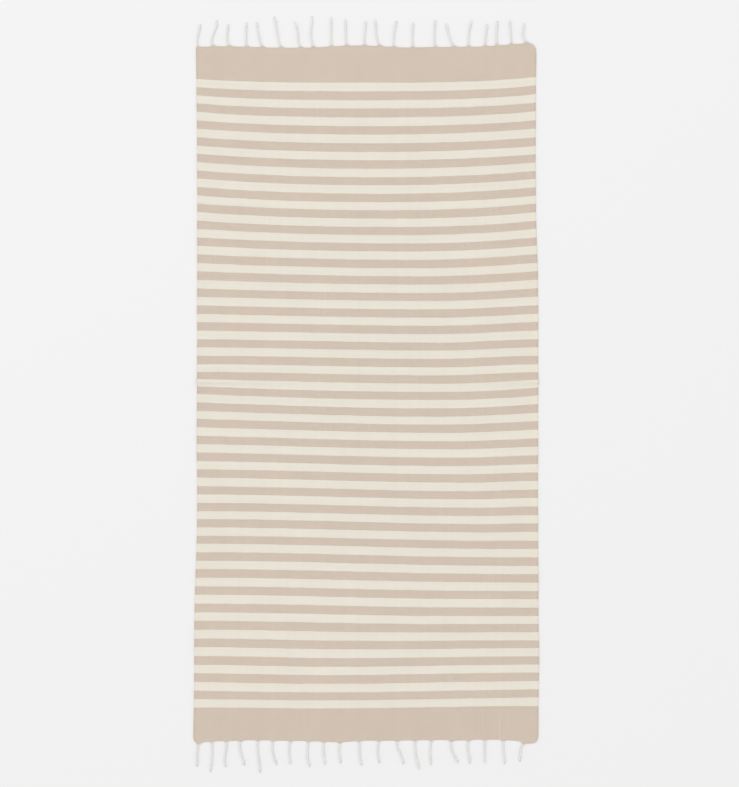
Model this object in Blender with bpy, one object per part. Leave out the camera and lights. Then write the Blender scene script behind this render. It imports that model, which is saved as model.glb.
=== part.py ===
"""A flat-woven beach towel with a twisted fringe at both ends, spread out flat, at its real size.

Metres, +Z up. The towel lies on z = 0 with its width along X and its length along Y. The origin is
under the middle of the whole, fringes included, and the head end is the one at +Y.

The cloth is one sheet. Each fringe has its strands rooted in a narrow strip along the cloth's end,
a hair's breadth from the cloth, and every strand lies on the same level floor as the cloth does.
The tables hold millimetres, a row for each place at which the towel was measured.
"""

import math
from collections import namedtuple

import bmesh
import bpy
from mathutils import Vector

MM = 0.001


def table(columns, *rows):
    """Rows of numbers under the named columns."""
    row = namedtuple("Row", columns)
    return tuple(row(*values) for values in rows)


# ---- Driving sizes, in millimetres ----
WIDTH = 884.0  # of the weave, from selvedge to selvedge
HALF_LENGTH = 900.0  # half the woven length, without the fringes
THICKNESS = 1.5  # of the cloth as it lies
SELVEDGE_WIDTH = 5.0  # the denser edge along both long sides
SELVEDGE_RISE = 0.4  # how much thicker than the cloth it is
STRIP_DEPTH = 16.0  # how much of each end the fringe's strip takes
PARTING = 0.3  # between the strip and the cloth

# ---- The outline ----
# Where the long sides lie along X, at places along Y.
SIDES = table(
    "along left right",
    (-880, -447.5, 445.5),
    (-800, -445.5, 445.5),
    (-700, -445, 447.5),
    (-560, -444, 445.5),
    (-430, -440, 445),
    (-300, -437, 444),
    (-150, -438, 444.5),
    (100, -437.5, 445),
    (310, -437, 444),
    (390, -437, 441),
    (540, -437, 438.5),
    (750, -438.5, 438.5),
    (880, -440.5, 440),
)
# How far the edge of each end lies outside the nominal length, at places along X.
HEAD_EDGE = table(
    "across out",
    (-440, -1),
    (-375, 1),
    (-290, -1),
    (-240, -2.5),
    (-150, -2.5),
    (-90, 0.5),
    (-30, 3),
    (20, 2),
    (110, -2.5),
    (150, -1.5),
    (230, -0.5),
    (300, 0.5),
    (340, 3),
    (390, 7),
    (420, 9),
    (440, 8),
)
FOOT_EDGE = table(
    "across out",
    (-446, 5),
    (-430, 1.5),
    (-400, -2.5),
    (-340, -4.5),
    (-300, -6),
    (-235, -5),
    (-150, -3.5),
    (-65, -1),
    (-10, -4.5),
    (60, -4.5),
    (110, -5.5),
    (190, -6.5),
    (230, -5),
    (300, -7.5),
    (350, -6.5),
    (395, -3),
    (412, 2.5),
    (446, 2.5),
)
HEAD_CORNERS = (3.0, 15.0)  # the radii at the left and the right
FOOT_CORNERS = (15.0, 16.0)

# ---- The crease where the towel was folded in half: a low ridge across the cloth ----
CREASE_AT = 33.0  # along Y
CREASE_REACH = 9.0  # half the ridge's width
CREASE = table(
    "across height",
    (-440, 4.6),
    (-395, 3.8),
    (-330, 2.6),
    (-240, 1.6),
    (-100, 1.2),
    (150, 1.2),
    (320, 1.6),
    (400, 2.6),
    (442, 3.8),
)

# ---- The fringes: a row for each strand ----
# root: where the strand leaves the edge, along X. near, far and tip: how far it has moved sideways
# at a third, at two thirds and at the end of its reach. reach: from the edge to the tip.
HEAD_STRANDS = table(
    "root near far tip reach",
    (-435, -2, 1.5, 5.5, 58),
    (-396, -3, 5.5, 9.5, 67),
    (-354, -6, -5, -3, 57.5),
    (-309, -2.5, -1.5, -1, 63),
    (-269, -7, -11, -15, 65),
    (-220, -8.5, -12.5, -18, 80),
    (-170, -6, -8, -16, 66),
    (-136, -7, -6, -4, 80),
    (-90, -1, -1, -1, 74),
    (-50, -3, -3.5, -4, 66.5),
    (-4, -1, 1.5, 2, 62),
    (35, -8, -10, -12, 68),
    (72, -1, 1.5, 7, 67),
    (121, -2, -1.5, 1, 64),
    (179, -3, -2, -0.5, 69),
    (227, -10, -15.5, -21.5, 60.5),
    (265, -0.5, 2, 8.5, 68),
    (308, 0, 2.5, 5.5, 57),
    (339, -2, -1, 0, 63),
    (376, -2, -3, -5, 63.5),
    (414, -7.5, -7.5, -4.5, 50.5),
)
FOOT_STRANDS = table(
    "root near far tip reach",
    (-434, -3, -3.5, -3.5, 60),
    (-399, 0.5, -1, -4, 78),
    (-363, 0.5, -3.5, 0.5, 67),
    (-325, -1.5, 4, 9.5, 65),
    (-280, -1, 3, 5, 83.5),
    (-241, -2, 2, 9.5, 63),
    (-196, -3.5, -3, -0.5, 60),
    (-150, -2, -1.5, 4, 66),
    (-110, -1, 1, 3, 60),
    (-68, -2, -0.5, 1.5, 54),
    (-18, 0, 1.5, 6.5, 63),
    (33, -3, -2.5, 1.5, 58),
    (81, 1, 9.5, 15.5, 60),
    (127, -0.5, 3.5, 10, 73),
    (168, -2, -2.5, -0.5, 65),
    (221, -1, 6, 17, 57),
    (264, -1.5, 2, 4, 60),
    (307, -0.5, -0.5, -1, 59),
    (355, -0.5, 1.5, 3, 61),
    (407, -7, -9, -10, 48),
)
# A strand's section at shares of its reach: it gathers from the edge, is twisted, and is held by a
# small knot short of its brushed-out tip.
STRAND_SECTIONS = table(
    "share width height",
    (0.09, 6.4, 3.0),
    (0.20, 5.0, 4.2),
    (0.36, 4.8, 4.3),
    (0.52, 4.8, 4.3),
    (0.68, 4.8, 4.3),
    (0.80, 4.6, 4.2),
    (0.86, 6.6, 5.4),
    (0.92, 4.6, 3.6),
    (1.00, 6.2, 1.8),
)
SHOULDER = 0.16  # how far a strand's top draws in on each side, of its width
ROOT_HALF_WIDTH = 6.0  # half of what a strand gathers from the edge
ROOT_CLEARANCE = 2.0  # between a gathered root and the corner
ROOT_PULL = 2.5  # how far the gathering draws the edge out
LEAN_STEP = 0.01  # the share of its reach over which a strand's direction is measured

# ---- Where the meshes have their rows and columns ----
SIDE_STOPS = (0.0, 2.5, SELVEDGE_WIDTH, 9.0, 16.0)  # in from each long side
CLOTH_END_STOPS = (0.0, 12.0)  # in from the parting
CREASE_STOPS = (-9.0, -6.5, -4.0, -2.0, 0.0, 2.0, 4.0, 6.5, 9.0)  # from the crease's line
CLOTH_COLUMNS = 14  # between the stops of the two sides
CLOTH_ROWS = 15  # between the stops of an end and of the crease
STRIP_STOPS = (0.0, 4.0, 9.0, STRIP_DEPTH)  # in from the strip's outer edge
STRIP_CELL = 11.0  # the widest cell of a strip between two roots
CORNER_CELL = 4.0  # the widest between a corner and the root next to it

# ---- Colours, as linear numbers ----
BEIGE = (0.645, 0.552, 0.456, 1.0)
OFF_WHITE = (0.82, 0.81, 0.785, 1.0)
COTTON_ROUGHNESS = 0.9


def read_off(rows, at, column):
    """A column's value where a table's first column is at, on a smooth curve through its rows."""
    points = [(row[0], getattr(row, column)) for row in rows]
    last = len(points) - 1
    if not points[0][0] < at < points[last][0]:
        return points[0 if at <= points[0][0] else last][1]
    i = next(i for i in range(last) if at <= points[i + 1][0])

    def slope(j):
        before, after = points[max(j - 1, 0)], points[min(j + 1, last)]
        return (after[1] - before[1]) / (after[0] - before[0])

    (x0, y0), (x1, y1) = points[i], points[i + 1]
    t = (at - x0) / (x1 - x0)
    rising = t * t * (3 - 2 * t)
    bending = t * (1 - t) * (slope(i) * (1 - t) - slope(i + 1) * t) * (x1 - x0)
    return y0 * (1 - rising) + y1 * rising + bending


def rounded(off_side, off_end, radius):
    """Offsets from a corner's two edges, drawn in to a round corner as a square is to a disc."""
    if off_side >= radius or off_end >= radius:
        return off_side, off_end
    dx, dy = radius - off_side, radius - off_end
    keep = max(dx, dy) / math.hypot(dx, dy)
    return radius - dx * keep, radius - dy * keep


def laid(share, along):
    """Where a point of the sheet lies on the floor, in millimetres.

    share is its place across the cloth, 0 at the left side and 1 at the right. along is its place
    down the nominal length, from -HALF_LENGTH to HALF_LENGTH.
    """
    left, right = read_off(SIDES, along, "left"), read_off(SIDES, along, "right")
    edge, corners = (HEAD_EDGE, HEAD_CORNERS) if along > 0 else (FOOT_EDGE, FOOT_CORNERS)
    inward = HALF_LENGTH - abs(along)
    if share < 0.5:
        from_left, inward = rounded(share * (right - left), inward, corners[0])
        x = left + from_left
    else:
        from_right, inward = rounded((1 - share) * (right - left), inward, corners[1])
        x = right - from_right
    uneven = max(0.0, 1 - inward / STRIP_DEPTH)
    return x, math.copysign(HALF_LENGTH - inward + read_off(edge, x, "out") * uneven, along)


def crease_lift(x, y):
    """How far the crease lifts the sheet off the floor, in millimetres."""
    off = abs(y - CREASE_AT) / CREASE_REACH
    return read_off(CREASE, x, "height") * math.cos(off * math.pi / 2) ** 2 if off < 1 else 0.0


def spaced(first, last, cells):
    """The even stops between first and last that part them into cells, without those two."""
    return [first + (last - first) * i / cells for i in range(1, cells)]


def side_shares():
    """The sheet's stops across, as shares of its width: close at the selvedges, even between."""
    near = [stop / WIDTH for stop in SIDE_STOPS]
    far = [1 - share for share in reversed(near)]
    return near + spaced(near[-1], far[0], CLOTH_COLUMNS) + far


def cloth_stops():
    """The sheet's stops along: close at the two partings and at the crease, even between."""
    end = HALF_LENGTH - STRIP_DEPTH - PARTING
    foot = [stop - end for stop in CLOTH_END_STOPS]
    head = [end - stop for stop in reversed(CLOTH_END_STOPS)]
    crease = [CREASE_AT + stop for stop in CREASE_STOPS]
    below = spaced(foot[-1], crease[0], CLOTH_ROWS)
    above = spaced(crease[-1], head[0], CLOTH_ROWS)
    return foot + below + crease + above + head


def strip_stops(strands, left, right):
    """The strip's stops along X, and the columns at which a strand's root starts."""
    stops, roots = [left], []
    widest = CORNER_CELL
    for strand in strands:
        start = max(strand.root - ROOT_HALF_WIDTH, left + ROOT_CLEARANCE)
        stops += spaced(stops[-1], start, math.ceil((start - stops[-1]) / widest))
        roots.append(len(stops))
        stops += [start, min(strand.root + ROOT_HALF_WIDTH, right - ROOT_CLEARANCE)]
        widest = STRIP_CELL
    stops += spaced(stops[-1], right, math.ceil((right - stops[-1]) / CORNER_CELL))
    return stops + [right], roots


def flat_sheet(columns, rows, place):
    """A grid with so many stops each way, each vertex put where place(column, row) says.

    place gives the vertex's place and its rise, the way from it to the vertex above it once the
    sheet has its thickness, both in millimetres.
    """
    bm = bmesh.new()
    rise = bm.verts.layers.float_vector.new("rise")
    bmesh.ops.create_grid(bm, x_segments=columns - 1, y_segments=rows - 1, size=1.0)
    for vert in bm.verts:
        column = round((vert.co.x + 1) / 2 * (columns - 1))
        row = round((vert.co.y + 1) / 2 * (rows - 1))
        where, up = place(column, row)
        vert.co = Vector(where) * MM
        vert[rise] = Vector(up) * MM
    return bm


def thicken(bm):
    """Closes a flat sheet into a solid by drawing a copy of it up along each vertex's rise."""
    rise = bm.verts.layers.float_vector["rise"]
    drawn = bmesh.ops.extrude_face_region(bm, geom=bm.faces[:])["geom"]
    for part in drawn:
        if isinstance(part, bmesh.types.BMVert):
            part.co += part[rise]
    bmesh.ops.recalc_face_normals(bm, faces=bm.faces[:])


def is_at_end(edge, end):
    """Whether an edge on a flat strip's rim runs along the towel's end."""
    a, b = (vert.co for vert in edge.verts)
    beyond = end * (a.y + b.y) / 2 > (HALF_LENGTH - STRIP_DEPTH / 2) * MM
    return beyond and abs(b.x - a.x) > abs(b.y - a.y)


def sideways(strand, share):
    """How far a strand has moved sideways at a share of its reach: a cubic through its row."""
    near = 13.5 * share * (share - 2 / 3) * (share - 1)
    far = -13.5 * share * (share - 1 / 3) * (share - 1)
    tip = 4.5 * share * (share - 1 / 3) * (share - 2 / 3)
    return strand.near * near + strand.far * far + strand.tip * tip


def square_on(strand, share, end):
    """The level direction across a strand at a share of its reach, towards +X."""
    before, after = sideways(strand, share - LEAN_STEP), sideways(strand, share + LEAN_STEP)
    lean = (after - before) / (2 * LEAN_STEP)
    return Vector((strand.reach, -end * lean, 0)).normalized()


def draw_strand(bm, edge, strand, end):
    """Draws a strand out of one edge of the flat strip, along the floor, section by section."""
    rise = bm.verts.layers.float_vector["rise"]
    base = sum(vert.co.y for vert in edge.verts) / 2 / MM - end * ROOT_PULL
    for section in STRAND_SECTIONS:
        drawn = bmesh.ops.extrude_edge_only(bm, edges=[edge])["geom"]
        edge = next(part for part in drawn if isinstance(part, bmesh.types.BMEdge))
        for face in edge.link_faces:
            face.material_index = 1
        x = strand.root + sideways(strand, section.share)
        y = base + end * section.share * strand.reach
        across = square_on(strand, section.share, end) * section.width
        for vert, side in zip(sorted(edge.verts, key=lambda vert: vert.co.x), (-1, 1)):
            vert.co = (Vector((x, y, 0)) + side / 2 * across) * MM
            vert[rise] = (Vector((0, 0, section.height)) - side * SHOULDER * across) * MM


def as_object(name, bm, materials):
    """Makes the finished mesh an object of its own."""
    mesh = bpy.data.meshes.new(name)
    bm.to_mesh(mesh)
    bm.free()
    for material in materials:
        mesh.materials.append(material)
    bpy.context.scene.collection.objects.link(bpy.data.objects.new(name, mesh))


def cotton(name, colour):
    """A matt cotton of one colour."""
    material = bpy.data.materials.new(name)
    material.use_nodes = True
    shader = material.node_tree.nodes["Principled BSDF"]
    shader.inputs["Base Color"].default_value = colour
    shader.inputs["Roughness"].default_value = COTTON_ROUGHNESS
    shader.inputs["Metallic"].default_value = 0.0
    return material


def make_cloth(woven):
    """The woven panel, from one parting to the other, with its selvedges and its crease."""
    shares, stops = side_shares(), cloth_stops()

    def place(column, row):
        x, y = laid(shares[column], stops[row])
        from_side = min(shares[column], 1 - shares[column]) * WIDTH
        height = THICKNESS + (SELVEDGE_RISE if from_side < SELVEDGE_WIDTH else 0.0)
        return (x, y, crease_lift(x, y)), (0, 0, height)

    bm = flat_sheet(len(shares), len(stops), place)
    thicken(bm)
    as_object("cloth", bm, [woven])


def make_fringe(name, strands, end, woven, twisted):
    """One end's strip of cloth with all its strands. end is 1 at the head and -1 at the foot."""
    corner = end * HALF_LENGTH
    left, right = read_off(SIDES, corner, "left"), read_off(SIDES, corner, "right")
    stops, roots = strip_stops(strands, left, right)
    gathered = {column + side for column in roots for side in (0, 1)}
    inward = sorted(STRIP_STOPS, reverse=end > 0)

    def place(column, row):
        share = (stops[column] - left) / (right - left)
        x, y = laid(share, end * (HALF_LENGTH - inward[row]))
        if inward[row] == 0 and column in gathered:
            y += end * ROOT_PULL
        return (x, y, 0), (0, 0, THICKNESS)

    def middle(edge):
        return sum(vert.co.x for vert in edge.verts) / 2 / MM

    bm = flat_sheet(len(stops), len(inward), place)
    rim = [edge for edge in bm.edges if edge.is_boundary and is_at_end(edge, end)]
    for column, strand in zip(roots, strands):
        root = (stops[column] + stops[column + 1]) / 2
        draw_strand(bm, min(rim, key=lambda edge: abs(middle(edge) - root)), strand, end)
    thicken(bm)
    as_object(name, bm, [woven, twisted])


def main():
    for old in list(bpy.data.objects):
        bpy.data.objects.remove(old, do_unlink=True)
    woven = cotton("striped_cotton", BEIGE)
    twisted = cotton("twisted_cotton", OFF_WHITE)
    make_cloth(woven)
    make_fringe("fringe_head", HEAD_STRANDS, 1, woven, twisted)
    make_fringe("fringe_foot", FOOT_STRANDS, -1, woven, twisted)


main()
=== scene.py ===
"""The looks of a flat-woven beach towel, spread out flat, with a twisted fringe at both ends.

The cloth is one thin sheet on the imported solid's outline and crease, woven in cream and beige by
its material. Each fringe is made of yarns: every strand is gathered from the cloth's edge, twisted
from two plies and knotted short of its brushed-out tip.

The head end is the one at +Y. The tables and the shapes are in millimetres, and a finished piece is
scaled to metres. The settings are in metres, as Blender's own are.
"""

import math
import random
from collections import namedtuple

import bmesh
import bpy
from bpy.props import FloatProperty, FloatVectorProperty, IntProperty, PointerProperty
from mathutils import Matrix, Vector


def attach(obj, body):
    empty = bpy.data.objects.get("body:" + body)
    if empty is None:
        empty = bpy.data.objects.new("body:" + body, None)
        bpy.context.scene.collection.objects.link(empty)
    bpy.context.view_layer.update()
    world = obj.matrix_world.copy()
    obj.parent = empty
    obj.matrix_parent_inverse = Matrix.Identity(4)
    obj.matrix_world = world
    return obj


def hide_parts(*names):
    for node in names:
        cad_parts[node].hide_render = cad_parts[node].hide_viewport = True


bl_info = {
    "name": "Fringed Beach Towel",
    "version": (1, 0, 0),
    "blender": (4, 5, 0),
    "location": "View3D > Sidebar > Towel",
    "description": "Weaves a striped beach towel, twists its fringes and sets its stage",
    "category": "Object",
}

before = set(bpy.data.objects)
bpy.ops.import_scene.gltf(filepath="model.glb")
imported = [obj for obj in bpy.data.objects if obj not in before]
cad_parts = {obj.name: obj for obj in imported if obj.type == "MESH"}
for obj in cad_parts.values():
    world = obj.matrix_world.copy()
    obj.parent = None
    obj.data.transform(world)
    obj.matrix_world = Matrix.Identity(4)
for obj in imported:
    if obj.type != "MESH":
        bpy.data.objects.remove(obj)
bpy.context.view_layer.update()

MM = 0.001
UP = Vector((0, 0, 1))


def table(columns, *rows):
    """Rows of numbers under the named columns."""
    row = namedtuple("Row", columns)
    return tuple(row(*values) for values in rows)


# ---- The outline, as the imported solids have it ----
WIDTH = 884.0  # of the weave, from selvedge to selvedge
HALF_LENGTH = 900.0  # half the woven length, without the fringes
SELVEDGE_WIDTH = 5.0  # the denser edge along both long sides
SELVEDGE_BLEND = 2.0  # how far to both sides of its inner rim it passes into the cloth
SELVEDGE_RISE = 0.4  # how much thicker than the cloth it is
END_DEPTH = 16.0  # how much of each end is drawn out of straight by the fringe
EDGE_ROUND = 0.8  # how far in the sheet's edge is rounded
EDGE_HEIGHT = 0.35  # the share of its thickness that is left at the very edge
# Where the long sides lie along X, at places along Y.
SIDES = table(
    "along left right",
    (-880, -447.5, 445.5),
    (-800, -445.5, 445.5),
    (-700, -445, 447.5),
    (-560, -444, 445.5),
    (-430, -440, 445),
    (-300, -437, 444),
    (-150, -438, 444.5),
    (100, -437.5, 445),
    (310, -437, 444),
    (390, -437, 441),
    (540, -437, 438.5),
    (750, -438.5, 438.5),
    (880, -440.5, 440),
)
# How far the edge of each end lies outside the nominal length, at places along X.
HEAD_EDGE = table(
    "across out",
    (-440, -1),
    (-375, 1),
    (-290, -1),
    (-240, -2.5),
    (-150, -2.5),
    (-90, 0.5),
    (-30, 3),
    (20, 2),
    (110, -2.5),
    (150, -1.5),
    (230, -0.5),
    (300, 0.5),
    (340, 3),
    (390, 7),
    (420, 9),
    (440, 8),
)
FOOT_EDGE = table(
    "across out",
    (-446, 5),
    (-430, 1.5),
    (-400, -2.5),
    (-340, -4.5),
    (-300, -6),
    (-235, -5),
    (-150, -3.5),
    (-65, -1),
    (-10, -4.5),
    (60, -4.5),
    (110, -5.5),
    (190, -6.5),
    (230, -5),
    (300, -7.5),
    (350, -6.5),
    (395, -3),
    (412, 2.5),
    (446, 2.5),
)
HEAD_CORNERS = (3.0, 15.0)  # the radii at the left and the right
FOOT_CORNERS = (15.0, 16.0)

# ---- Folds and swells of the sheet ----
CREASE_AT = 33.0  # where the fold mark crosses, along Y
CREASE_REACH = 9.0  # half the ridge's width
CREASE_CREST = 0.3  # how round its crest is, as a share of its reach
CREASE_FALL = 1.3  # over 1, its slopes are hollow
CREASE = table(
    "across height",
    (-440, 4.6),
    (-395, 3.8),
    (-330, 2.6),
    (-240, 1.6),
    (-100, 1.2),
    (150, 1.2),
    (320, 1.6),
    (400, 2.6),
    (442, 3.8),
)
# Faint swells that the cloth keeps when it is smoothed out by hand.
SWELLS = table(
    "across along width length height",
    (-330, 610, 120, 60, 0.7),
    (180, 700, 160, 55, 0.6),
    (-60, 430, 190, 70, 0.7),
    (340, 330, 90, 80, 0.8),
    (-250, 190, 130, 60, 0.6),
    (120, 120, 170, 50, 0.6),
    (-360, -110, 90, 75, 0.8),
    (230, -190, 150, 65, 0.7),
    (-110, -360, 180, 60, 0.7),
    (370, -470, 80, 70, 0.8),
    (-300, -600, 120, 70, 0.7),
    (90, -700, 170, 60, 0.6),
)
RUFFLE = 0.7  # how far the selvedges stand off the floor between the places where they touch it
RUFFLE_LENGTH = 172.0  # from one such place to the next
RUFFLE_REACH = 20.0  # how fast this dies out into the cloth
RUFFLE_END = 60.0  # how far from the ends it begins

# ---- The stripes ----
STRIPE = 21.53  # the width of each, cream and beige alike
FIRST_EDGE = 808.7  # the first cream stripe's upper edge, along the flat cloth
LAST_EDGE = 75  # the last cream stripe's lower edge, counted from 0 for the first one's upper
# How the weft hangs, from the foot to the head: how far towards the head it lies at the left side, at
# its lowest point and at the right side, and where across the cloth that lowest point is. Where evened
# is 0 it rises to the sides in one arc, where it is 1 it levels off towards them, and below 0 it stays
# low for longer and rises late.
WEFT = table(
    "along left low_at low right evened",
    (-800, -4.5, -100, -7, -0.5, 1),
    (-700, -1, -90, -6.5, -0.5, 1),
    (-570, 5.5, 220, -4, -4, 1),
    (-420, 10, 380, -3.5, -3.5, 1),
    (-270, 8.5, 280, -4, -0.5, 1),
    (-120, 10, 220, -4, 3.5, 0.5),
    (-30, 10, 190, -5.5, 5.5, 0.3),
    (10, 9.5, 200, -5.5, 6, 0),
    (60, 2, 190, -6.5, 1.5, 1),
    (205, 2.5, 170, -7.5, 3, 0.4),
    (380, 6, 110, -9, 6.5, 0),
    (505, 8, 50, -9.5, 7.5, -0.15),
    (635, 7.5, 20, -9, 6.5, -0.1),
    (790, 8, 0, -3, 12, -0.5),
)

# ---- The fringes: a row for each strand ----
# root: where the strand leaves the edge, along X. near, far and tip: how far it has moved sideways
# at a third, at two thirds and at the end of its reach. reach: from the edge to the tip.
HEAD_STRANDS = table(
    "root near far tip reach",
    (-435, -2, 1.5, 5.5, 58),
    (-396, -3, 5.5, 9.5, 67),
    (-354, -6, -5, -3, 57.5),
    (-309, -2.5, -1.5, -1, 63),
    (-269, -7, -11, -15, 65),
    (-220, -8.5, -12.5, -18, 80),
    (-170, -6, -8, -16, 66),
    (-136, -7, -6, -4, 80),
    (-90, -1, -1, -1, 74),
    (-50, -3, -3.5, -4, 66.5),
    (-4, -1, 1.5, 2, 62),
    (35, -8, -10, -12, 68),
    (72, -1, 1.5, 7, 67),
    (121, -2, -1.5, 1, 64),
    (179, -3, -2, -0.5, 69),
    (227, -10, -15.5, -21.5, 60.5),
    (265, -0.5, 2, 8.5, 68),
    (308, 0, 2.5, 5.5, 57),
    (339, -2, -1, 0, 63),
    (376, -2, -3, -5, 63.5),
    (414, -7.5, -7.5, -4.5, 50.5),
)
FOOT_STRANDS = table(
    "root near far tip reach",
    (-434, -3, -3.5, -3.5, 60),
    (-399, 0.5, -1, -4, 78),
    (-363, 0.5, -3.5, 0.5, 67),
    (-325, -1.5, 4, 9.5, 65),
    (-280, -1, 3, 5, 83.5),
    (-241, -2, 2, 9.5, 63),
    (-196, -3.5, -3, -0.5, 60),
    (-150, -2, -1.5, 4, 66),
    (-110, -1, 1, 3, 60),
    (-68, -2, -0.5, 1.5, 54),
    (-18, 0, 1.5, 6.5, 63),
    (33, -3, -2.5, 1.5, 58),
    (81, 1, 9.5, 15.5, 60),
    (127, -0.5, 3.5, 10, 73),
    (168, -2, -2.5, -0.5, 65),
    (221, -1, 6, 17, 57),
    (264, -1.5, 2, 4, 60),
    (307, -0.5, -0.5, -1, 59),
    (355, -0.5, 1.5, 3, 61),
    (407, -7, -9, -10, 48),
)
End = namedtuple("End", "node sign edge corners strands")
HEAD = End("fringe_head", 1, HEAD_EDGE, HEAD_CORNERS, HEAD_STRANDS)
FOOT = End("fringe_foot", -1, FOOT_EDGE, FOOT_CORNERS, FOOT_STRANDS)

ROOT_PULL = 2.5  # how far a strand's gathering draws the cloth's edge out
ROOT_SPREAD = 6.0  # how far to each side of the strand it does
ROOT_INSIDE = 1.5  # how far inside the cloth's side the outermost gathered yarn stays
# How the gathered yarns run from inside the cloth into the plies: how far out of the edge, the share
# that is left of a yarn's offset from the strand, and the height above the floor.
ROOT_STATIONS = table(
    "out kept height",
    (-3, 1.1, 0.75),
    (0, 1.05, 0.75),
    (3, 0.82, 0.8),
    (6, 0.56, 0.95),
    (9, 0.36, 1.3),
    (12, 0.22, 1.7),
)
ROOT_PULL_END = 9.0  # how far out of the edge the gathered yarns are free of the edge's own pull
ROOT_FIRST = 0.8  # how far off the strand the innermost gathered yarn leaves the cloth
ROOT_GAP = 1.55  # from one gathered yarn to the next
ROOT_STRAY = 0.3  # how far off its place one of them may be
ROOT_YARN = 0.46  # a gathered yarn's radius, as a share of a ply's

PLY_START = 4.5  # how far out of the edge the plies begin
PLY_GROWS = (4.0, 12.0)  # from where to where, out of the edge, they come to their full form
PLY_THIN = 0.65  # how thick they begin, as a share of their radius
PLY_APART = 1.9  # how far off the strand's middle they begin, in radii, where it is 1 later on
PLY_LOW = 0.9  # how high above the floor they begin
PLY_SQUASH = 0.9  # how far a ply turns up and down, as a share of how far it turns across
STRAND_HEIGHT = 1.9  # how high above the floor a strand's middle lies in the end, in radii of a ply
TWIST_START = 7.0  # how far out of the edge the plies begin to turn round each other
TWIST_STEPS = 10  # stations of a ply for each turn
LEAN_STEP = 0.01  # how far to both sides, as a share of its reach, a strand's direction is measured
PLY_SIDES = 8
YARN_SIDES = 5

KNOT_SHARE = 0.86  # where along its reach a strand is knotted
KNOT_TURNS = 1.7
KNOT_STEPS = 14  # stations of the knot for each turn
KNOT_LENGTH = 2.4  # how far its turns climb along the strand
KNOT_SLANT = 0.9  # how far each turn leans to and fro along the strand
KNOT_LEAD = 0.6  # by how much this is ahead of the turn, in radians
KNOT_ACROSS = 1.7  # how far it turns to each side of the strand's middle, in radii of a ply
KNOT_RISE = 1.45  # how far it turns up and down, in the same
KNOT_YARN = 0.92  # the radius of the yarn that it is tied with, in the same

TUFT_STEPS = 4  # from the first station of a yarn end to its last
TUFT_TIPS = (-0.03, 0.015)  # the least and the most that one ends past the reach, as shares of it
TUFT_WIDTH = 1.1  # half the tuft's width where it leaves the knot
TUFT_FAN = (0.4, 1.8)  # the least and the most that a tuft's half width grows
TUFT_STRAY = (-0.2, 0.3)  # the least and the most that a yarn end strays outwards from there
TUFT_TOP = 2.3  # how high above the floor the yarn ends leave the knot
TUFT_FALL = (0.6, 2.4)  # the lowest and the highest that they come down to
TUFT_WAVE = 0.25  # how far they wave up and down
TUFT_CURL = 7.0  # how far they get through that wave, in radians
TUFT_LOWEST = 0.5  # how near to the floor the middle of one may come
TUFT_YARN = 0.55  # a yarn end's radius at the knot
TUFT_TAPER = 0.17  # how much thinner it is at its tip

# ---- Where the sheet has its rows and columns ----
SIDE_STOPS = (0.0, 0.3, 0.8, 2.5, 5.0, 7.0, 11.0)  # in from each long side
END_STOPS = (0.0, 0.3, 0.8, 2.0, 4.0, 7.0, 11.0, 16.0, 24.0)  # in from each end
CREASE_STOPS = (0.4, 1.2, 2.2, 3.2, 4.5, 6.0, 7.5, 9.0, 11.0, 14.0)  # to both sides of the crease
COLUMN_GAP = 4.0  # the most between two columns
ROW_GAP = 18.0  # the most between two rows

# ---- The photograph's frame ----
PHOTO_WIDTH, PHOTO_HEIGHT = 739, 787  # pixels
PIXEL = 2.588  # the size of one on the floor
PHOTO_MIDDLE = Vector((8.6, 2.6, 0.0))  # the place that is in its middle
SENSOR = 36.0  # the camera's, along the photograph's longer side

# ---- The floor and the key light, in metres ----
FLOOR_SIDE = 60.0
FLOOR_DROP = 0.0002  # so that the cloth's underside doesn't share its plane
KEY_PLACE = Vector((-4.5, 6.7, 9.0))
KEY_ACROSS = 6.0


# ---- Settings that a user would change ----
def length(name, description, default):
    """A setting that is a length in metres."""
    return FloatProperty(
        name=name, description=description, default=default, min=0.0002, precision=5, unit="LENGTH"
    )


def colour(name, description, default):
    """A setting that is a linear colour."""
    return FloatVectorProperty(
        name=name, description=description, default=default, subtype="COLOR", min=0.0, max=1.0
    )


class TowelCloth(bpy.types.PropertyGroup):
    """The woven panel"""

    thickness: length("Thickness", "Of the cloth as it lies", 0.0015)
    warp_pitch: length("Warp Pitch", "From one lengthwise yarn to the next", 0.0011)
    weft_pitch: length("Weft Pitch", "From one crosswise yarn to the next", 0.00095)
    beige: colour("Beige Yarn", "The weft of the beige stripes and of the end bands", (0.56, 0.404, 0.315))
    cream: colour("Cream Yarn", "The warp, and the weft of the cream stripes", (0.86, 0.815, 0.704))


class TowelFringe(bpy.types.PropertyGroup):
    """The twisted fringes"""

    ply: length("Ply", "Radius of each of the two plies of a strand", 0.0012)
    twist: length("Twist", "How much of a strand its plies take for one turn round each other", 0.0115)
    root_yarns: IntProperty(
        name="Root Yarns", description="Yarns that each ply gathers from the edge", default=4, min=1, max=8
    )
    tuft_yarns: IntProperty(
        name="Tuft Yarns", description="Yarn ends brushed out past each knot", default=11, min=3, max=16
    )
    cotton: colour("Fringe Yarn", "The twisted yarn", (0.84, 0.83, 0.805))


class TowelStage(bpy.types.PropertyGroup):
    """The floor, the light and the camera"""

    floor: colour("Floor", "The floor that the towel lies on", (0.80, 0.80, 0.80))
    sky: FloatProperty(
        name="Even Light", description="Strength of the light from all around", default=1.0, min=0.0
    )
    key: FloatProperty(
        name="Key Light", description="The soft light from one side", default=228.0, min=0.0, unit="POWER"
    )
    lens: FloatProperty(name="Lens", description="Focal length in millimetres", default=110.0, min=35.0)


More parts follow.
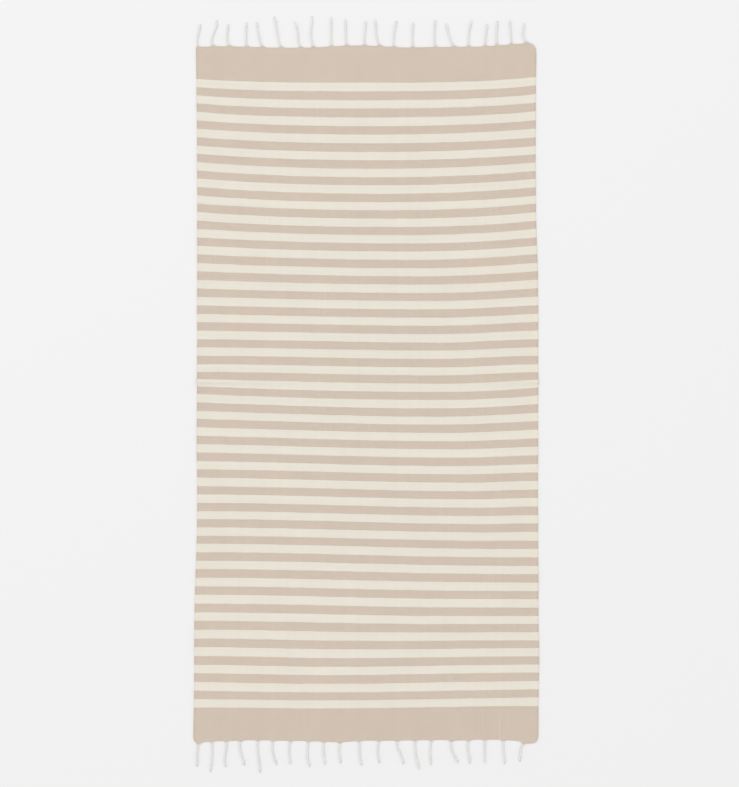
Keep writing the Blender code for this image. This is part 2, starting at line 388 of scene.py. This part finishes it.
# ---- Reading the tables ----
def curve_through(points, at):
    """The value at a place on a smooth curve through (place, value) points, level past its ends."""
    last = len(points) - 1
    if not points[0][0] < at < points[last][0]:
        return points[0 if at <= points[0][0] else last][1]
    i = next(i for i in range(last) if at <= points[i + 1][0])

    def slope(j):
        before, after = points[max(j - 1, 0)], points[min(j + 1, last)]
        return (after[1] - before[1]) / (after[0] - before[0])

    (x0, y0), (x1, y1) = points[i], points[i + 1]
    t = (at - x0) / (x1 - x0)
    rising = t * t * (3 - 2 * t)
    bending = t * (1 - t) * (slope(i) * (1 - t) - slope(i + 1) * t) * (x1 - x0)
    return y0 * (1 - rising) + y1 * rising + bending


def read_off(rows, at, column):
    """A column's value where a table's first column is at."""
    return curve_through([(row[0], getattr(row, column)) for row in rows], at)


def eased(value, low, high):
    """0 below low, 1 above high, and smooth between."""
    t = min(max((value - low) / (high - low), 0.0), 1.0)
    return t * t * (3 - 2 * t)


def spaced(first, last, gap):
    """Even stops between first and last, no wider apart than gap, without those two."""
    cells = math.ceil((last - first) / gap)
    return [first + (last - first) * i / cells for i in range(1, cells)]


# ---- How the sheet lies ----
def sides_at(along):
    """Where the left and the right side lie along X."""
    return read_off(SIDES, along, "left"), read_off(SIDES, along, "right")


def rounded(off_side, off_end, radius):
    """Offsets from a corner's two edges, drawn in to a round corner as a square is to a disc."""
    if off_side >= radius or off_end >= radius:
        return off_side, off_end
    dx, dy = radius - off_side, radius - off_end
    keep = max(dx, dy) / math.hypot(dx, dy)
    return radius - dx * keep, radius - dy * keep


def gathering(x, strands):
    """How far the strands near a place along X draw the edge out."""
    pull = sum(math.exp(-(((x - strand.root) / ROOT_SPREAD) ** 2)) for strand in strands)
    return ROOT_PULL * min(pull, 1.0)


def laid(share, along):
    """Where a point of the sheet lies on the floor, and how far the strands draw it out from there.

    share is its place across the cloth, 0 at the left side and 1 at the right. along is its place
    down the nominal length, from -HALF_LENGTH to HALF_LENGTH.
    """
    end = HEAD if along > 0 else FOOT
    left, right = sides_at(along)
    inward = HALF_LENGTH - abs(along)
    if share < 0.5:
        from_left, inward = rounded(share * (right - left), inward, end.corners[0])
        x = left + from_left
    else:
        from_right, inward = rounded((1 - share) * (right - left), inward, end.corners[1])
        x = right - from_right
    drawn = max(0.0, 1 - inward / END_DEPTH)
    y = HALF_LENGTH - inward + read_off(end.edge, x, "out") * drawn
    pull = gathering(x, end.strands) * drawn if drawn else 0.0
    return x, end.sign * y, end.sign * pull


def lift(x, y, from_side):
    """How far the sheet stands off the floor."""
    off = math.hypot((y - CREASE_AT) / CREASE_REACH, CREASE_CREST)
    height = 0.0
    if off < 1:
        height = read_off(CREASE, x, "height") * ((1 - off) / (1 - CREASE_CREST)) ** CREASE_FALL
    for swell in SWELLS:
        away = ((x - swell.across) / swell.width) ** 2 + ((y - swell.along) / swell.length) ** 2
        height += swell.height * math.exp(-away)
    wave = 0.5 + 0.5 * math.sin(2 * math.pi * y / RUFFLE_LENGTH + x / WIDTH)
    within = eased(HALF_LENGTH - abs(y), 0, RUFFLE_END)
    return height + RUFFLE * wave * within * math.exp(-from_side / RUFFLE_REACH)


def weft_offset(row, across):
    """How far towards the head one row's weft lies at a place across the cloth."""
    rim, side = (-WIDTH / 2, row.left) if across < row.low_at else (WIDTH / 2, row.right)
    away = (across - row.low_at) / (rim - row.low_at)
    arc, levelled = away * away, eased(away, 0, 1)
    return row.low + (side - row.low) * (arc + (levelled - arc) * row.evened)


def woven_places(across):
    """(laid, woven) places along Y at one place across the cloth, from the foot to the head."""
    places = [(-HALF_LENGTH - read_off(FOOT_EDGE, across, "out"), -HALF_LENGTH)]
    places += [(row.along + weft_offset(row, across), row.along) for row in WEFT]
    places.append((HALF_LENGTH + read_off(HEAD_EDGE, across, "out"), HALF_LENGTH))
    return places


def side_shares():
    """The sheet's stops across, as shares of its width."""
    near = [stop / WIDTH for stop in SIDE_STOPS]
    far = [1 - share for share in reversed(near)]
    return near + spaced(near[-1], far[0], COLUMN_GAP / WIDTH) + far


def row_stops():
    """The sheet's stops along, close at both ends and at the crease."""
    foot = [stop - HALF_LENGTH for stop in END_STOPS]
    head = [HALF_LENGTH - stop for stop in reversed(END_STOPS)]
    crease = [CREASE_AT - stop for stop in reversed(CREASE_STOPS)]
    crease += [CREASE_AT + stop for stop in CREASE_STOPS]
    below, above = spaced(foot[-1], crease[0], ROW_GAP), spaced(crease[-1], head[0], ROW_GAP)
    return foot + below + crease + above + head


# ---- The cloth's mesh ----
FLAT_MAP = "flat_cloth"  # the UV map with each point's place on the flat cloth, in millimetres


def sheet_grid(columns, rows, place):
    """A grid with so many vertices each way, each put where place(column, row) says.

    place gives the vertex's place, the way up from it to the sheet's upper face, and its place on
    the flat cloth.
    """
    bm = bmesh.new()
    rise = bm.verts.layers.float_vector.new("rise")
    flat = bm.verts.layers.float_vector.new("flat")
    bmesh.ops.create_grid(bm, x_segments=columns - 1, y_segments=rows - 1, size=1.0)
    for vert in bm.verts:
        column = round((vert.co.x + 1) / 2 * (columns - 1))
        row = round((vert.co.y + 1) / 2 * (rows - 1))
        vert.co, vert[rise], vert[flat] = place(column, row)
    return bm


def thicken(bm):
    """Closes a sheet into a solid by drawing a copy of it up along each vertex's rise."""
    rise = bm.verts.layers.float_vector["rise"]
    drawn = bmesh.ops.extrude_face_region(bm, geom=bm.faces[:])["geom"]
    for part in drawn:
        if isinstance(part, bmesh.types.BMVert):
            part.co += part[rise]
    bmesh.ops.recalc_face_normals(bm, faces=bm.faces[:])


def map_flat(bm):
    """Gives the sheet its UV map from the places on the flat cloth."""
    flat = bm.verts.layers.float_vector["flat"]
    uv = bm.loops.layers.uv.new(FLAT_MAP)
    for face in bm.faces:
        for loop in face.loops:
            loop[uv].uv = loop.vert[flat].xy


def finished(name, bm, material):
    """The finished mesh, scaled to metres, as a piece that rides on the body."""
    bmesh.ops.scale(bm, vec=(MM, MM, MM), verts=bm.verts[:])
    for face in bm.faces:
        face.smooth = True
    mesh = bpy.data.meshes.new(name)
    bm.to_mesh(mesh)
    bm.free()
    mesh.materials.append(material)
    piece = bpy.data.objects.new(name, mesh)
    bpy.context.scene.collection.objects.link(piece)
    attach(piece, "root")
    return piece


def weave_cloth(cloth):
    """The woven panel as one thin sheet, with rounded edges, selvedges, crease and swells."""
    thickness = cloth.thickness / MM
    shares, stops = side_shares(), row_stops()
    woven = [woven_places((share - 0.5) * WIDTH) for share in shares]

    def place(column, row):
        share, along = shares[column], stops[row]
        x, y, pull = laid(share, along)
        left, right = sides_at(along)
        from_side = min(share, 1 - share) * WIDTH
        past_selvedge = eased(from_side, SELVEDGE_WIDTH - SELVEDGE_BLEND, SELVEDGE_WIDTH + SELVEDGE_BLEND)
        full = thickness + SELVEDGE_RISE * (1 - past_selvedge)
        inset = max(0.0, 1 - min(from_side, HALF_LENGTH - abs(along)) / EDGE_ROUND)
        height = full * (EDGE_HEIGHT + (1 - EDGE_HEIGHT) * math.sqrt(1 - inset * inset))
        low = lift(x, y, from_side) + (full - height) / 2
        across = ((x - left) / (right - left) - 0.5) * WIDTH
        return (x, y + pull, low), (0, 0, height), (across, curve_through(woven[column], y), 0)

    bm = sheet_grid(len(shares), len(stops), place)
    thicken(bm)
    map_flat(bm)
    piece = finished("woven_cloth", bm, woven_cotton(cloth))
    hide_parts("cloth")


# ---- The fringes' yarns ----
def sideways(strand, share):
    """How far a strand has moved sideways at a share of its reach: a cubic through its row."""
    # Each factor is 1 at its own place, and 0 at the root and at the other two places.
    near = 13.5 * share * (share - 2 / 3) * (share - 1)
    far = -13.5 * share * (share - 1 / 3) * (share - 1)
    tip = 4.5 * share * (share - 1 / 3) * (share - 2 / 3)
    return strand.near * near + strand.far * far + strand.tip * tip


def strand_at(end, strand, share):
    """The place on the floor under a strand at a share of its reach."""
    out = read_off(end.edge, strand.root, "out") + share * strand.reach
    return Vector((strand.root + sideways(strand, share), end.sign * (HALF_LENGTH + out), 0))


def square_on(end, strand, share):
    """The level direction across a strand, towards +X, at a share of its reach."""
    ahead = strand_at(end, strand, share + LEAN_STEP) - strand_at(end, strand, share - LEAN_STEP)
    return end.sign * Vector((ahead.y, -ahead.x, 0)).normalized()


def yarn_frames(line):
    """For each (place, radius) station of a yarn, the matrix that puts a unit circle there."""
    frames = []
    last = len(line) - 1
    for i, (place, radius) in enumerate(line):
        ahead = (line[min(i + 1, last)][0] - line[max(i - 1, 0)][0]).normalized()
        side = UP.cross(ahead).normalized()
        turned = Matrix((side, ahead.cross(side), ahead)).transposed() * radius
        frames.append(Matrix.Translation(place) @ turned.to_4x4())
    return frames


def draw_yarn(bm, line, sides):
    """Draws a closed round yarn along its (place, radius) stations.

    Each vertex keeps in lay its place in the straight yarn: off its middle, and then along it.
    """
    lay = bm.verts.layers.float_vector["lay"]
    frames = yarn_frames(line)
    verts = bmesh.ops.create_circle(bm, cap_ends=True, segments=sides, radius=1.0)["verts"]
    for vert in verts:
        vert[lay] = vert.co * line[0][1]
    edges = list({edge for vert in verts for edge in vert.link_edges})
    bmesh.ops.transform(bm, matrix=frames[0], verts=verts)
    for i in range(1, len(line)):
        drawn = bmesh.ops.extrude_edge_only(bm, edges=edges)["geom"]
        verts = [part for part in drawn if isinstance(part, bmesh.types.BMVert)]
        edges = [part for part in drawn if isinstance(part, bmesh.types.BMEdge)]
        bmesh.ops.transform(bm, matrix=frames[i] @ frames[i - 1].inverted(), verts=verts)
        step = (line[i][0] - line[i - 1][0]).length
        grown = line[i][1] / line[i - 1][1]
        for vert in verts:
            vert[lay] = vert[lay] * Vector((grown, grown, 1)) + step * UP
    bmesh.ops.edgeloop_fill(bm, edges=edges)


def ply_line(end, strand, side, fringe):
    """A ply's stations. It leaves the edge beside the other, turns round it and ends in the knot."""
    radius, pitch = fringe.ply / MM, fringe.twist / MM
    last = KNOT_SHARE * strand.reach
    steps = math.ceil((last - PLY_START) / pitch * TWIST_STEPS)
    line = []
    for i in range(steps + 1):
        out = PLY_START + (last - PLY_START) * i / steps
        share = out / strand.reach
        grown = eased(out, *PLY_GROWS)
        thick = radius * (PLY_THIN + (1 - PLY_THIN) * grown)
        swing = radius * (PLY_APART + (1 - PLY_APART) * grown)
        turn = 2 * math.pi * max(0.0, out - TWIST_START) / pitch + (math.pi if side < 0 else 0)
        across = swing * math.cos(turn) * square_on(end, strand, share)
        middle = PLY_LOW + (STRAND_HEIGHT * radius - PLY_LOW) * grown
        height = max(middle + PLY_SQUASH * swing * math.sin(turn), thick)
        line.append((strand_at(end, strand, share) + across + height * UP, thick))
    return line


def root_line(end, strand, offset, fringe):
    """The stations of a yarn that leaves the cloth beside a strand and runs into one of its plies."""
    line = []
    for out, kept, height in ROOT_STATIONS:
        share = out / strand.reach
        place = strand_at(end, strand, share) + offset * kept * square_on(end, strand, share)
        pull = ROOT_PULL * math.exp(-((offset / ROOT_SPREAD) ** 2))
        place.y += end.sign * pull * (1 - eased(out, 0, ROOT_PULL_END))
        line.append((place + height * UP, fringe.ply / MM * ROOT_YARN))
    return line


def knot_line(end, strand, fringe):
    """The stations of the slanting turns that knot a strand."""
    radius = fringe.ply / MM
    steps = round(KNOT_TURNS * KNOT_STEPS)
    line = []
    for i in range(steps + 1):
        turn = 2 * math.pi * KNOT_TURNS * i / steps
        out = KNOT_SHARE * strand.reach + KNOT_LENGTH * (i / steps - 0.5)
        share = (out + KNOT_SLANT * math.sin(turn + KNOT_LEAD)) / strand.reach
        across = KNOT_ACROSS * radius * math.cos(turn) * square_on(end, strand, share)
        height = max(radius, radius * (STRAND_HEIGHT + KNOT_RISE * math.sin(turn)))
        line.append((strand_at(end, strand, share) + across + height * UP, KNOT_YARN * radius))
    return line


def tuft_line(end, strand, spread, fan, draw):
    """The stations of a yarn end past the knot, fanned to one side and let down to the floor."""
    tip = 1 + draw.uniform(*TUFT_TIPS)
    fall = draw.uniform(*TUFT_FALL)
    line = []
    for i in range(TUFT_STEPS + 1):
        done = i / TUFT_STEPS
        share = KNOT_SHARE + (tip - KNOT_SHARE) * done
        across = spread * (TUFT_WIDTH + (fan + draw.uniform(*TUFT_STRAY)) * done)
        place = strand_at(end, strand, share) + across * square_on(end, strand, share)
        wave = TUFT_WAVE * math.sin(TUFT_CURL * done + spread)
        height = max(TUFT_TOP + (fall - TUFT_TOP) * done + wave, TUFT_LOWEST)
        line.append((place + height * UP, TUFT_YARN - TUFT_TAPER * done))
    return line


def draw_strand(bm, end, strand, fringe):
    """One strand: the yarns at its root, its two plies, its knot and its tuft."""
    draw = random.Random(strand.root)
    left, right = sides_at(end.sign * HALF_LENGTH)
    for side, room in ((-1, strand.root - left), (1, right - strand.root)):
        draw_yarn(bm, ply_line(end, strand, side, fringe), PLY_SIDES)
        narrowed = min((room - ROOT_INSIDE) / ROOT_SPREAD, 1.0)
        for i in range(fringe.root_yarns):
            off = ROOT_FIRST + ROOT_GAP * i + draw.uniform(-ROOT_STRAY, ROOT_STRAY)
            draw_yarn(bm, root_line(end, strand, side * narrowed * off, fringe), YARN_SIDES)
    draw_yarn(bm, knot_line(end, strand, fringe), PLY_SIDES)
    fan = draw.uniform(*TUFT_FAN)
    for i in range(fringe.tuft_yarns):
        spread = (2 * i + 1) / fringe.tuft_yarns - 1
        draw_yarn(bm, tuft_line(end, strand, spread, fan, draw), YARN_SIDES)


def twist_fringe(end, fringe, material):
    """All the strands of one end as one piece."""
    whole = bmesh.new()
    for strand in end.strands:
        bm = bmesh.new()
        bm.verts.layers.float_vector.new("lay")
        draw_strand(bm, end, strand, fringe)
        bmesh.ops.recalc_face_normals(bm, faces=bm.faces[:])
        mesh = bpy.data.meshes.new("strand")
        bm.to_mesh(mesh)
        bm.free()
        whole.from_mesh(mesh)
        bpy.data.meshes.remove(mesh)
    piece = finished("yarns_of_" + end.node, whole, material)
    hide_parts(end.node)


# ---- Finishes ----
class Finish:
    """A material's node tree, put together value by value."""

    def __init__(self, name, roughness, sheen, specular=0.25):
        self.material = bpy.data.materials.new(name)
        self.material.use_nodes = True
        self.tree = self.material.node_tree
        self.shader = self.tree.nodes["Principled BSDF"]
        self.shader.inputs["Roughness"].default_value = roughness
        self.shader.inputs["Specular IOR Level"].default_value = specular
        self.shader.inputs["Sheen Weight"].default_value = sheen
        self.shader.inputs["Sheen Roughness"].default_value = 0.5

    def node(self, kind, inputs=(), **settings):
        """A node with its settings, each input linked to an output or set to a value."""
        made = self.tree.nodes.new(kind)
        for name, value in settings.items():
            setattr(made, name, value)
        for socket, value in dict(inputs).items():
            if isinstance(value, bpy.types.NodeSocket):
                self.tree.links.new(value, made.inputs[socket])
            else:
                made.inputs[socket].default_value = value
        return made

    def math(self, operation, *values):
        """The result of one sum on numbers or outputs."""
        return self.node("ShaderNodeMath", enumerate(values), operation=operation).outputs[0]

    def vector(self, operation, *values):
        """The result of one sum on vectors."""
        return self.node("ShaderNodeVectorMath", enumerate(values), operation=operation).outputs[0]

    def split(self, place):
        """The numbers that make up a vector."""
        return self.node("ShaderNodeSeparateXYZ", {0: place}).outputs

    def joined(self, first, second):
        """A vector made up of two numbers."""
        return self.node("ShaderNodeCombineXYZ", {0: first, 1: second}).outputs[0]

    def between(self, share, low, high):
        """A number between low and high, at a share of the way."""
        return self.math("MULTIPLY_ADD", share, high - low, low)

    def blend(self, share, first, second):
        """A colour, as a vector, between two at a share of the way."""
        inputs = {0: share, 4: first, 5: second}
        return self.node("ShaderNodeMix", inputs, data_type="VECTOR").outputs[1]

    def scaled(self, tint, shade):
        """A colour times a number."""
        return self.node("ShaderNodeVectorMath", {0: tint, 3: shade}, operation="SCALE").outputs[0]

    def noise(self, place, scale, detail=2.0, output="Fac"):
        """Smooth noise at a place."""
        inputs = {"Vector": place, "Scale": scale, "Detail": detail}
        return self.node("ShaderNodeTexNoise", inputs).outputs[output]

    def chance(self, number):
        """A random number from 0 to 1 for each whole number."""
        return self.node("ShaderNodeTexWhiteNoise", {"W": number}, noise_dimensions="1D").outputs["Value"]

    def finish(self, tint, height, depth):
        """Links the colour, and the height as a relief of so many metres."""
        bump = self.node("ShaderNodeBump", {"Height": height, "Distance": depth, "Strength": 1.0})
        self.tree.links.new(tint, self.shader.inputs["Base Color"])
        self.tree.links.new(bump.outputs["Normal"], self.shader.inputs["Normal"])
        return self.material


# How the weave is drawn: the scales of its noises are those of the flat cloth in millimetres, and the
# heights are in parts of a yarn's own.
WANDER_SCALE = 0.035
WANDER = (2.0, 2.4, 0.0)  # how wide a band a yarn strays within, across and along the cloth
SLUB_ALONG = 0.025  # how fast a weft yarn's thickness changes along it
SLUB_BETWEEN = 0.61  # how fast it changes from one pick to the next
COVER = (0.05, 0.55)  # how deep the weft buries the warp, from its thinnest to its thickest
SELVEDGE_COVER = 0.2  # how much deeper it does in the selvedges
CROSSING = 2.5  # how sharply one yarn passes over into the other where they cross
PICK_SHADES = (0.965, 1.035)  # the darkest and the palest pick of weft
SLUB_SHADES = (0.94, 1.06)  # the same for its thinnest and its thickest places
WARP_SHADES = (0.95, 1.03)  # the darkest and the palest yarn of the warp
# Painted shade: where the yarns lie low, in the hollows between them, the weave's colour is darkened in
# place of shade.
PAINTED_SHADE_HEIGHTS = (0.2, 1.2)  # the heights at which the weave is darkest, and from which it isn't darkened
PAINTED_HOLLOW_SHADE = 0.80  # how much of its colour the weave keeps where it is darkest
BROAD_SCALE = 0.012
BROAD_SHADES = (0.97, 1.03)  # the darkest and the palest parts of the whole cloth
FIBRE_SCALE = 4.0
FIBRE_HEIGHT = 0.35
WEAVE_RELIEF = 0.00016  # how many metres a height of 1 is


def woven_cotton(cloth):
    """A plain weave: cream warp over and under a weft that is cream or beige by the stripe."""
    made = Finish("striped_cotton", roughness=0.92, sheen=0.12)
    flat = made.node("ShaderNodeUVMap", uv_map=FLAT_MAP).outputs["UV"]
    wander = made.vector("SUBTRACT", made.noise(flat, WANDER_SCALE, output="Color"), (0.5, 0.5, 0.5))
    place = made.vector("MULTIPLY_ADD", wander, WANDER, flat)
    across, along, _ = made.split(place)
    warp_count = made.math("DIVIDE", across, cloth.warp_pitch / MM)
    weft_count = made.math("DIVIDE", along, cloth.weft_pitch / MM)
    end_no, pick_no = made.math("FLOOR", warp_count), made.math("FLOOR", weft_count)

    # Each yarn is round across and dips under every other yarn that it crosses.
    warp_wave = made.math("SINE", made.math("MULTIPLY", warp_count, math.pi))
    weft_wave = made.math("SINE", made.math("MULTIPLY", weft_count, math.pi))
    over = made.math("MULTIPLY", warp_wave, weft_wave)
    warp_height = made.math("ADD", made.math("ABSOLUTE", warp_wave), over)
    weft_height = made.math("SUBTRACT", made.math("ABSOLUTE", weft_wave), over)

    # The weft is beaten close, closer still in the selvedges, and spun a little unevenly.
    along_yarn = made.math("MULTIPLY", across, SLUB_ALONG)
    between_picks = made.math("MULTIPLY", pick_no, SLUB_BETWEEN)
    slub = made.noise(made.joined(along_yarn, between_picks), 1.0, detail=1.0)
    from_middle = made.math("ABSOLUTE", made.split(flat)[0])
    selvedge = made.math("GREATER_THAN", from_middle, WIDTH / 2 - SELVEDGE_WIDTH)
    cover = made.math("MULTIPLY_ADD", selvedge, SELVEDGE_COVER, made.between(slub, *COVER))
    warp_height = made.math("SUBTRACT", warp_height, cover)
    proud = made.math("SUBTRACT", warp_height, weft_height)
    shows = made.node("ShaderNodeClamp", {0: made.math("MULTIPLY_ADD", proud, CROSSING, 0.5)}).outputs[0]
    height = made.math("MAXIMUM", warp_height, weft_height)

    # Stripes change colour from one pick to the next.
    past_first = made.math("MULTIPLY_ADD", pick_no, -cloth.weft_pitch / MM, FIRST_EDGE)
    stripe = made.math("DIVIDE", past_first, STRIPE)
    even = made.math("LESS_THAN", made.math("FRACT", made.math("MULTIPLY", stripe, 0.5)), 0.5)
    begun, unended = made.math("GREATER_THAN", stripe, 0.0), made.math("LESS_THAN", stripe, LAST_EDGE)
    inside = made.math("MULTIPLY", begun, unended)
    weft = made.blend(made.math("MULTIPLY", even, inside), cloth.beige, cloth.cream)
    pick_shade = made.between(made.chance(pick_no), *PICK_SHADES)
    weft = made.scaled(weft, made.math("MULTIPLY", pick_shade, made.between(slub, *SLUB_SHADES)))
    warp = made.scaled(cloth.cream, made.between(made.chance(end_no), *WARP_SHADES))
    tint = made.blend(shows, weft, warp)
    # Painted shade in the hollows of the weave: the lower the yarns lie there, the darker their colour is
    # made.
    lowest, highest = PAINTED_SHADE_HEIGHTS
    painted_shade_range = {0: height, 1: lowest, 2: highest, 3: PAINTED_HOLLOW_SHADE, 4: 1.0}
    painted_hollow_shade = made.node("ShaderNodeMapRange", painted_shade_range).outputs[0]
    broad = made.between(made.noise(flat, BROAD_SCALE, detail=3.0), *BROAD_SHADES)
    tint = made.scaled(tint, made.math("MULTIPLY", painted_hollow_shade, broad))
    fibre = made.noise(place, FIBRE_SCALE)
    return made.finish(tint, made.math("MULTIPLY_ADD", fibre, FIBRE_HEIGHT, height), WEAVE_RELIEF)


# How the twisted yarn is drawn: the scales of its noises are those of the piece in metres.
FIBRE_GAP = 2.7  # millimetres along a yarn from one slanting fibre to the next
FIBRES_ROUND = 3.0  # how many of them lie side by side round it
# Painted shade: the yarn's colour is darker in the grooves between its slanting fibres and paler on their
# crests.
PAINTED_FIBRE_SHADES = (0.90, 1.02)
UNEVEN_SCALE = 60.0
UNEVEN_SHADES = (0.95, 1.05)
FUZZ_SCALE = 2600.0
FUZZ_HEIGHT = 0.5  # beside a fibre's own height of 1
YARN_RELIEF = 0.00018  # how many metres a fibre stands up on a yarn with a radius of 1 mm


def twisted_cotton(fringe):
    """Cotton yarn whose fibres run round it in a slant."""
    made = Finish("twisted_cotton", roughness=0.9, sheen=0.15)
    lay = made.node("ShaderNodeAttribute", attribute_name="lay").outputs["Vector"]
    aside, up, along = made.split(lay)
    around = made.math("ARCTAN2", up, aside)
    turned = made.math("MULTIPLY", around, FIBRES_ROUND)
    slant = made.math("MULTIPLY_ADD", along, 2 * math.pi / FIBRE_GAP, turned)
    fibres = made.math("MULTIPLY_ADD", made.math("SINE", slant), 0.5, 0.5)
    place = made.node("ShaderNodeTexCoord").outputs["Object"]
    uneven = made.noise(place, UNEVEN_SCALE)
    fuzz = made.noise(place, FUZZ_SCALE)
    # Painted shade along the fibres: darker where the fibre relief is low, paler where it is high.
    painted_fibre_shade = made.between(fibres, *PAINTED_FIBRE_SHADES)
    shade = made.math("MULTIPLY", painted_fibre_shade, made.between(uneven, *UNEVEN_SHADES))
    tint = made.scaled(fringe.cotton, shade)
    # The relief is the shallower the thinner the yarn is.
    off_middle = made.joined(aside, up)
    radius = made.node("ShaderNodeVectorMath", {0: off_middle}, operation="LENGTH").outputs["Value"]
    relief = made.math("MULTIPLY", made.math("MULTIPLY_ADD", fuzz, FUZZ_HEIGHT, fibres), radius)
    return made.finish(tint, relief, YARN_RELIEF)


def plain_floor(stage):
    """A pale, even, matt floor."""
    made = Finish("pale_floor", roughness=1.0, sheen=0.0, specular=0.0)
    made.shader.inputs["Base Color"].default_value = (*stage.floor, 1.0)
    return made.material


# ---- The stage ----
def lay_floor(stage):
    """The floor, a hair's breadth under the cloth."""
    bm = bmesh.new()
    bmesh.ops.create_grid(bm, x_segments=1, y_segments=1, size=FLOOR_SIDE / 2)
    bmesh.ops.translate(bm, vec=(0, 0, -FLOOR_DROP), verts=bm.verts[:])
    mesh = bpy.data.meshes.new("floor")
    bm.to_mesh(mesh)
    bm.free()
    mesh.materials.append(plain_floor(stage))
    floor = bpy.data.objects.new("floor", mesh)
    bpy.context.scene.collection.objects.link(floor)


def light_up(stage):
    """Even light from all around, and a soft key light from the head end's left."""
    scene = bpy.context.scene
    scene.view_settings.view_transform = "Standard"
    scene.world = bpy.data.worlds.new("even_light")
    scene.world.use_nodes = True
    background = scene.world.node_tree.nodes["Background"]
    background.inputs["Color"].default_value = (1.0, 1.0, 1.0, 1.0)
    background.inputs["Strength"].default_value = stage.sky
    light = bpy.data.lights.new("key_light", "AREA")
    light.shape = "DISK"
    light.size = KEY_ACROSS
    light.energy = stage.key
    key = bpy.data.objects.new("key_light", light)
    key.location = KEY_PLACE
    key.rotation_euler = (-KEY_PLACE).to_track_quat("-Z", "Y").to_euler()
    key.visible_camera = False
    scene.collection.objects.link(key)


def set_camera(stage):
    """A camera straight above, as far up as takes in the photograph's frame."""
    data = bpy.data.cameras.new("camera")
    data.sensor_width = SENSOR
    data.lens = stage.lens
    data.clip_end = 100.0
    camera = bpy.data.objects.new("camera", data)
    height = max(PHOTO_WIDTH, PHOTO_HEIGHT) * PIXEL * MM * stage.lens / SENSOR
    camera.location = PHOTO_MIDDLE * MM + height * UP
    bpy.context.scene.collection.objects.link(camera)
    bpy.context.scene.camera = camera


# ---- Operators and the panel ----
class TOWEL_OT_twist_fringes(bpy.types.Operator):
    """Twist the strands of both fringes"""

    bl_idname = "towel.twist_fringes"
    bl_label = "Twist Fringes"

    def execute(self, context):
        fringe = context.scene.towel_fringe
        material = twisted_cotton(fringe)
        for end in (HEAD, FOOT):
            twist_fringe(end, fringe, material)
        return {"FINISHED"}


class TOWEL_OT_weave_cloth(bpy.types.Operator):
    """Weave the cloth with its stripes, selvedges and crease"""

    bl_idname = "towel.weave_cloth"
    bl_label = "Weave Cloth"

    def execute(self, context):
        weave_cloth(context.scene.towel_cloth)
        return {"FINISHED"}


class TOWEL_OT_set_stage(bpy.types.Operator):
    """Lay the floor, and set up the light and the camera"""

    bl_idname = "towel.set_stage"
    bl_label = "Set Stage"

    def execute(self, context):
        stage = context.scene.towel_stage
        lay_floor(stage)
        light_up(stage)
        set_camera(stage)
        return {"FINISHED"}


class TOWEL_PT_maker(bpy.types.Panel):
    """Everything the towel is made with"""

    bl_idname = "TOWEL_PT_maker"
    bl_label = "Beach Towel"
    bl_space_type = "VIEW_3D"
    bl_region_type = "UI"
    bl_category = "Towel"

    def draw(self, context):
        scene = context.scene
        for settings, operator in (
            (scene.towel_fringe, "towel.twist_fringes"),
            (scene.towel_cloth, "towel.weave_cloth"),
            (scene.towel_stage, "towel.set_stage"),
        ):
            box = self.layout.box()
            for name in settings.bl_rna.properties.keys():
                if name not in {"rna_type", "name"}:
                    box.prop(settings, name)
            box.operator(operator)


CLASSES = (
    TowelCloth,
    TowelFringe,
    TowelStage,
    TOWEL_OT_twist_fringes,
    TOWEL_OT_weave_cloth,
    TOWEL_OT_set_stage,
    TOWEL_PT_maker,
)


def register():
    for each in CLASSES:
        bpy.utils.register_class(each)
    bpy.types.Scene.towel_cloth = PointerProperty(type=TowelCloth)
    bpy.types.Scene.towel_fringe = PointerProperty(type=TowelFringe)
    bpy.types.Scene.towel_stage = PointerProperty(type=TowelStage)


def unregister():
    del bpy.types.Scene.towel_stage
    del bpy.types.Scene.towel_fringe
    del bpy.types.Scene.towel_cloth
    for each in reversed(CLASSES):
        bpy.utils.unregister_class(each)


def main():
    register()
    bpy.ops.towel.twist_fringes()
    bpy.ops.towel.weave_cloth()
    bpy.ops.towel.set_stage()


if __name__ == "__main__":
    main()
